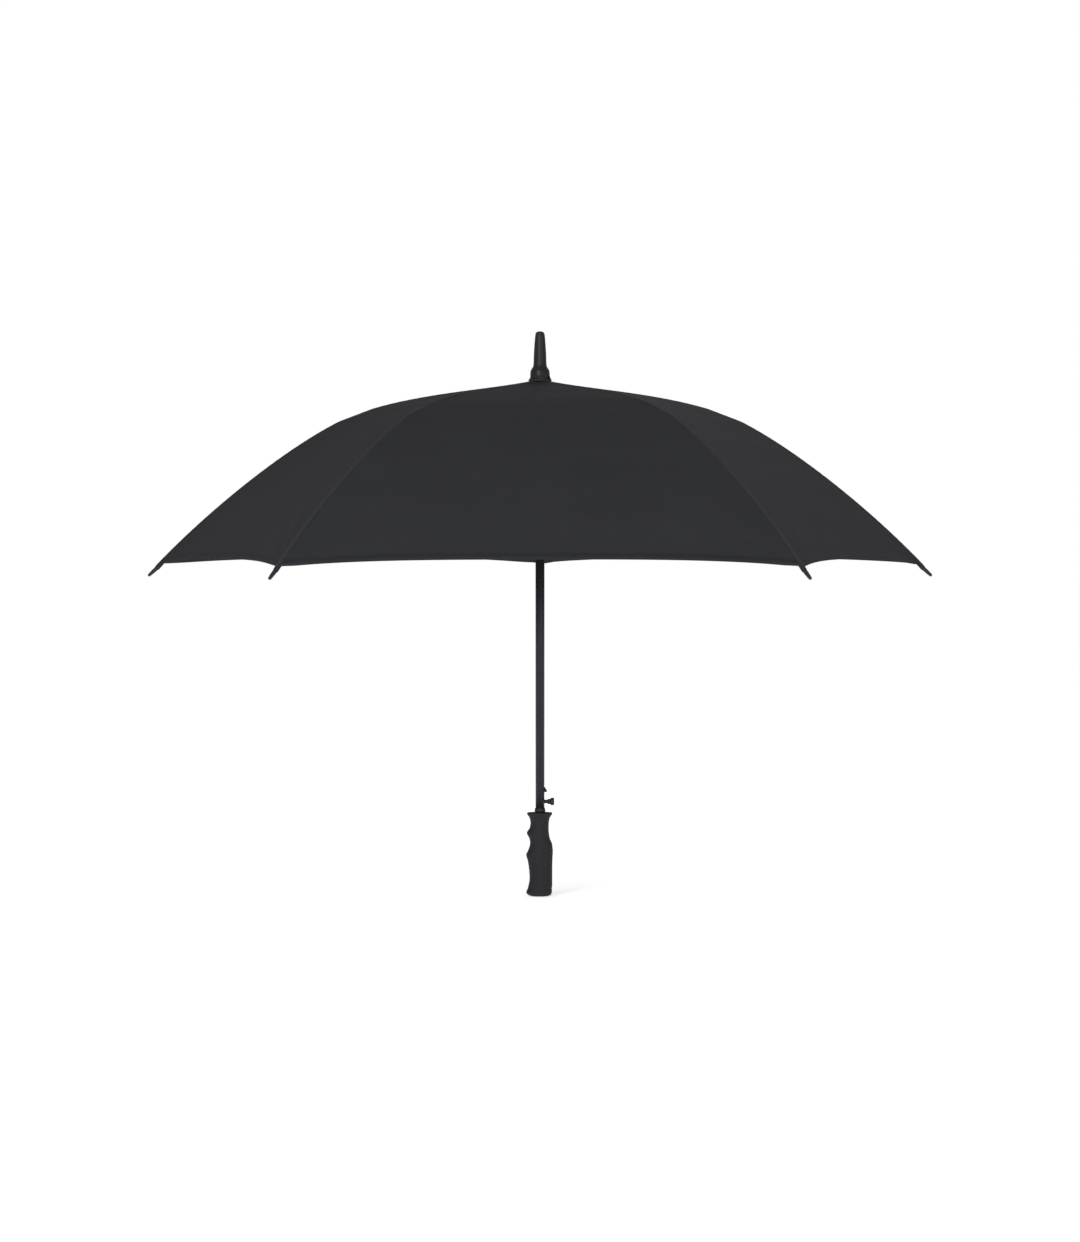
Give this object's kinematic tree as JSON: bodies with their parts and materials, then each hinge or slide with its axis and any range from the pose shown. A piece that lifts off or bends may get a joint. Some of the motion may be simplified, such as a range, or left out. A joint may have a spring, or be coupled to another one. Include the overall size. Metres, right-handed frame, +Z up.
{
  "type": "golf umbrella",
  "caption": "Large open stick umbrella with a domed dark canopy, a straight shaft with a sliding runner, a push-button release and a contoured grip.",
  "frame": {"origin": "centre of the grip's flat base, on the shaft's axis", "axes": "+Z up the shaft towards the ferrule, +X towards the release button, -Y towards the middle of the front gore"},
  "size_m": [1.2922, 1.2293, 0.9032],
  "materials": {
    "shaft_steel": "satin dark grey paint",
    "black_plastic": "fine satin moulding",
    "glass_fibre": "smooth pultruded rod",
    "canopy_fabric": "tight matt weave",
    "grip_rubber": "soft-touch matt rubber"
  },
  "bodies": {
    "shaft": {"shaft_tube": "shaft_steel", "top_notch": "black_plastic", "top_notch_wire": "shaft_steel", "canopy_rosette": "canopy_fabric", "ferrule": "black_plastic", "grip": "grip_rubber", "grip_liner": "black_plastic", "shaft_plug": "black_plastic", "shaft_collar": "black_plastic"},
    "runner": {"runner": "black_plastic", "runner_wire": "shaft_steel"},
    "rib_1": {"rib_inner_1": "glass_fibre", "rib_joint_1": "shaft_steel"},
    "rib_end_1": {"rib_outer_1": "glass_fibre", "rib_tip_1": "black_plastic"},
    "stretcher_arm_1": {"stretcher_1": "shaft_steel"},
    "gore_top_1": {"gore_inner_1": "canopy_fabric"},
    "gore_skirt_1": {"gore_outer_1": "canopy_fabric"},
    "rib_2": {"rib_inner_2": "glass_fibre", "rib_joint_2": "shaft_steel"},
    "rib_end_2": {"rib_outer_2": "glass_fibre", "rib_tip_2": "black_plastic"},
    "stretcher_arm_2": {"stretcher_2": "shaft_steel"},
    "gore_top_2": {"gore_inner_2": "canopy_fabric"},
    "gore_skirt_2": {"gore_outer_2": "canopy_fabric"},
    "rib_3": {"rib_inner_3": "glass_fibre", "rib_joint_3": "shaft_steel"},
    "rib_end_3": {"rib_outer_3": "glass_fibre", "rib_tip_3": "black_plastic"},
    "stretcher_arm_3": {"stretcher_3": "shaft_steel"},
    "gore_top_3": {"gore_inner_3": "canopy_fabric"},
    "gore_skirt_3": {"gore_outer_3": "canopy_fabric"},
    "rib_4": {"rib_inner_4": "glass_fibre", "rib_joint_4": "shaft_steel"},
    "rib_end_4": {"rib_outer_4": "glass_fibre", "rib_tip_4": "black_plastic"},
    "stretcher_arm_4": {"stretcher_4": "shaft_steel"},
    "gore_top_4": {"gore_inner_4": "canopy_fabric"},
    "gore_skirt_4": {"gore_outer_4": "canopy_fabric"},
    "rib_5": {"rib_inner_5": "glass_fibre", "rib_joint_5": "shaft_steel"},
    "rib_end_5": {"rib_outer_5": "glass_fibre", "rib_tip_5": "black_plastic"},
    "stretcher_arm_5": {"stretcher_5": "shaft_steel"},
    "gore_top_5": {"gore_inner_5": "canopy_fabric"},
    "gore_skirt_5": {"gore_outer_5": "canopy_fabric"},
    "upper_catch_spring": {"upper_catch": "shaft_steel"},
    "lower_catch_spring": {"lower_catch": "shaft_steel"},
    "button": {"release_button": "black_plastic"}
  },
  "joints": [
    {"name": "runner_slide", "type": "slide", "parent": "shaft", "child": "runner", "axis": [0, 0, -1], "range_m": [0, 0.44228], "deforming": ["upper_catch", "lower_catch"]},
    {"name": "rib_hinge_1", "type": "hinge", "parent": "shaft", "child": "rib_1", "pos_m": [0, 0.01, 0.8205], "axis": [-1, 0, 0], "range_deg": [0, 76]},
    {"name": "rib_flex_1", "type": "hinge", "parent": "rib_1", "child": "rib_end_1", "pos_m": [0, 0.34055, 0.75835], "axis": [-1, 0, 0], "range_deg": [-22.5, 0]},
    {"name": "stretcher_hinge_1", "type": "hinge", "parent": "rib_1", "child": "stretcher_arm_1", "pos_m": [0, 0.31042, 0.76196], "axis": [-1, 0, 0], "range_deg": [-139.52, 0]},
    {"name": "rib_hinge_2", "type": "hinge", "parent": "shaft", "child": "rib_2", "pos_m": [-0.00951, 0.00309, 0.8205], "axis": [-0.309, -0.9511, 0], "range_deg": [0, 76]},
    {"name": "rib_flex_2", "type": "hinge", "parent": "rib_2", "child": "rib_end_2", "pos_m": [-0.32388, 0.10524, 0.75835], "axis": [-0.309, -0.9511, 0], "range_deg": [-22.5, 0]},
    {"name": "stretcher_hinge_2", "type": "hinge", "parent": "rib_2", "child": "stretcher_arm_2", "pos_m": [-0.29522, 0.09592, 0.76196], "axis": [-0.309, -0.9511, 0], "range_deg": [-139.52, 0]},
    {"name": "rib_hinge_3", "type": "hinge", "parent": "shaft", "child": "rib_3", "pos_m": [-0.00588, -0.00809, 0.8205], "axis": [0.809, -0.5878, 0], "range_deg": [0, 76]},
    {"name": "rib_flex_3", "type": "hinge", "parent": "rib_3", "child": "rib_end_3", "pos_m": [-0.20017, -0.27551, 0.75835], "axis": [0.809, -0.5878, 0], "range_deg": [-22.5, 0]},
    {"name": "stretcher_hinge_3", "type": "hinge", "parent": "rib_3", "child": "stretcher_arm_3", "pos_m": [-0.18246, -0.25113, 0.76196], "axis": [0.809, -0.5878, 0], "range_deg": [-139.52, 0]},
    {"name": "rib_hinge_4", "type": "hinge", "parent": "shaft", "child": "rib_4", "pos_m": [0.00588, -0.00809, 0.8205], "axis": [0.809, 0.5878, 0], "range_deg": [0, 76]},
    {"name": "rib_flex_4", "type": "hinge", "parent": "rib_4", "child": "rib_end_4", "pos_m": [0.20017, -0.27551, 0.75835], "axis": [0.809, 0.5878, 0], "range_deg": [-22.5, 0]},
    {"name": "stretcher_hinge_4", "type": "hinge", "parent": "rib_4", "child": "stretcher_arm_4", "pos_m": [0.18246, -0.25113, 0.76196], "axis": [0.809, 0.5878, 0], "range_deg": [-139.52, 0]},
    {"name": "rib_hinge_5", "type": "hinge", "parent": "shaft", "child": "rib_5", "pos_m": [0.00951, 0.00309, 0.8205], "axis": [-0.309, 0.9511, 0], "range_deg": [0, 76]},
    {"name": "rib_flex_5", "type": "hinge", "parent": "rib_5", "child": "rib_end_5", "pos_m": [0.32388, 0.10524, 0.75835], "axis": [-0.309, 0.9511, 0], "range_deg": [-22.5, 0]},
    {"name": "stretcher_hinge_5", "type": "hinge", "parent": "rib_5", "child": "stretcher_arm_5", "pos_m": [0.29522, 0.09592, 0.76196], "axis": [-0.309, 0.9511, 0], "range_deg": [-139.52, 0]},
    {"name": "gore_hinge_1", "type": "hinge", "parent": "shaft", "child": "gore_top_1", "pos_m": [-0.00571, 0.00785, 0.8245], "axis": [-0.809, -0.5878, 0], "range_deg": [0, 74], "deforming": ["gore_inner_1"]},
    {"name": "gore_fold_1", "type": "hinge", "parent": "gore_top_1", "child": "gore_skirt_1", "pos_m": [-0.16263, 0.22384, 0.7625], "axis": [-0.809, -0.5878, 0], "range_deg": [-28, 0], "deforming": ["gore_outer_1"]},
    {"name": "gore_hinge_2", "type": "hinge", "parent": "shaft", "child": "gore_top_2", "pos_m": [-0.00923, -0.003, 0.8245], "axis": [0.309, -0.9511, 0], "range_deg": [0, 74], "deforming": ["gore_inner_2"]},
    {"name": "gore_fold_2", "type": "hinge", "parent": "gore_top_2", "child": "gore_skirt_2", "pos_m": [-0.26314, -0.0855, 0.7625], "axis": [0.309, -0.9511, 0], "range_deg": [-28, 0], "deforming": ["gore_outer_2"]},
    {"name": "gore_hinge_3", "type": "hinge", "parent": "shaft", "child": "gore_top_3", "pos_m": [0, -0.00971, 0.8245], "axis": [1, 0, 0], "range_deg": [0, 74], "deforming": ["gore_inner_3"]},
    {"name": "gore_fold_3", "type": "hinge", "parent": "gore_top_3", "child": "gore_skirt_3", "pos_m": [0, -0.27668, 0.7625], "axis": [1, 0, 0], "range_deg": [-28, 0], "deforming": ["gore_outer_3"]},
    {"name": "gore_hinge_4", "type": "hinge", "parent": "shaft", "child": "gore_top_4", "pos_m": [0.00923, -0.003, 0.8245], "axis": [0.309, 0.9511, 0], "range_deg": [0, 74], "deforming": ["gore_inner_4"]},
    {"name": "gore_fold_4", "type": "hinge", "parent": "gore_top_4", "child": "gore_skirt_4", "pos_m": [0.26314, -0.0855, 0.7625], "axis": [0.309, 0.9511, 0], "range_deg": [-28, 0], "deforming": ["gore_outer_4"]},
    {"name": "gore_hinge_5", "type": "hinge", "parent": "shaft", "child": "gore_top_5", "pos_m": [0.00571, 0.00785, 0.8245], "axis": [-0.809, 0.5878, 0], "range_deg": [0, 74], "deforming": ["gore_inner_5"]},
    {"name": "gore_fold_5", "type": "hinge", "parent": "gore_top_5", "child": "gore_skirt_5", "pos_m": [0.16263, 0.22384, 0.7625], "axis": [-0.809, 0.5878, 0], "range_deg": [-28, 0], "deforming": ["gore_outer_5"]},
    {"name": "upper_catch_press", "type": "slide", "parent": "shaft", "child": "upper_catch_spring", "axis": [-1, 0, 0], "range_m": [0, 0.0048], "stiffness_N_per_m": 400, "springref_m": -0.004},
    {"name": "button_press", "type": "slide", "parent": "shaft", "child": "button", "axis": [-1, 0, 0], "range_m": [0, 0.0048], "stiffness_N_per_m": 400, "springref_m": -0.004},
    {"name": "lower_catch_press", "type": "slide", "parent": "shaft", "child": "lower_catch_spring", "axis": [-1, 0, 0], "range_m": [0, 0.0048]}
  ],
  "couplings": [
    {"joint": "rib_hinge_1", "follows": "runner_slide", "rad_per_m": 2.9991},
    {"joint": "rib_flex_1", "follows": "runner_slide", "rad_per_m": -0.88791},
    {"joint": "stretcher_hinge_1", "follows": "runner_slide", "rad_per_m": -5.5056},
    {"joint": "rib_hinge_2", "follows": "runner_slide", "rad_per_m": 2.9991},
    {"joint": "rib_flex_2", "follows": "runner_slide", "rad_per_m": -0.88791},
    {"joint": "stretcher_hinge_2", "follows": "runner_slide", "rad_per_m": -5.5056},
    {"joint": "rib_hinge_3", "follows": "runner_slide", "rad_per_m": 2.9991},
    {"joint": "rib_flex_3", "follows": "runner_slide", "rad_per_m": -0.88791},
    {"joint": "stretcher_hinge_3", "follows": "runner_slide", "rad_per_m": -5.5056},
    {"joint": "rib_hinge_4", "follows": "runner_slide", "rad_per_m": 2.9991},
    {"joint": "rib_flex_4", "follows": "runner_slide", "rad_per_m": -0.88791},
    {"joint": "stretcher_hinge_4", "follows": "runner_slide", "rad_per_m": -5.5056},
    {"joint": "rib_hinge_5", "follows": "runner_slide", "rad_per_m": 2.9991},
    {"joint": "rib_flex_5", "follows": "runner_slide", "rad_per_m": -0.88791},
    {"joint": "stretcher_hinge_5", "follows": "runner_slide", "rad_per_m": -5.5056},
    {"joint": "gore_hinge_1", "follows": "runner_slide", "rad_per_m": 2.9202},
    {"joint": "gore_fold_1", "follows": "runner_slide", "rad_per_m": -1.1049},
    {"joint": "gore_hinge_2", "follows": "runner_slide", "rad_per_m": 2.9202},
    {"joint": "gore_fold_2", "follows": "runner_slide", "rad_per_m": -1.1049},
    {"joint": "gore_hinge_3", "follows": "runner_slide", "rad_per_m": 2.9202},
    {"joint": "gore_fold_3", "follows": "runner_slide", "rad_per_m": -1.1049},
    {"joint": "gore_hinge_4", "follows": "runner_slide", "rad_per_m": 2.9202},
    {"joint": "gore_fold_4", "follows": "runner_slide", "rad_per_m": -1.1049},
    {"joint": "gore_hinge_5", "follows": "runner_slide", "rad_per_m": 2.9202},
    {"joint": "gore_fold_5", "follows": "runner_slide", "rad_per_m": -1.1049},
    {"joint": "lower_catch_press", "follows": "button_press", "ratio": 1}
  ]
}
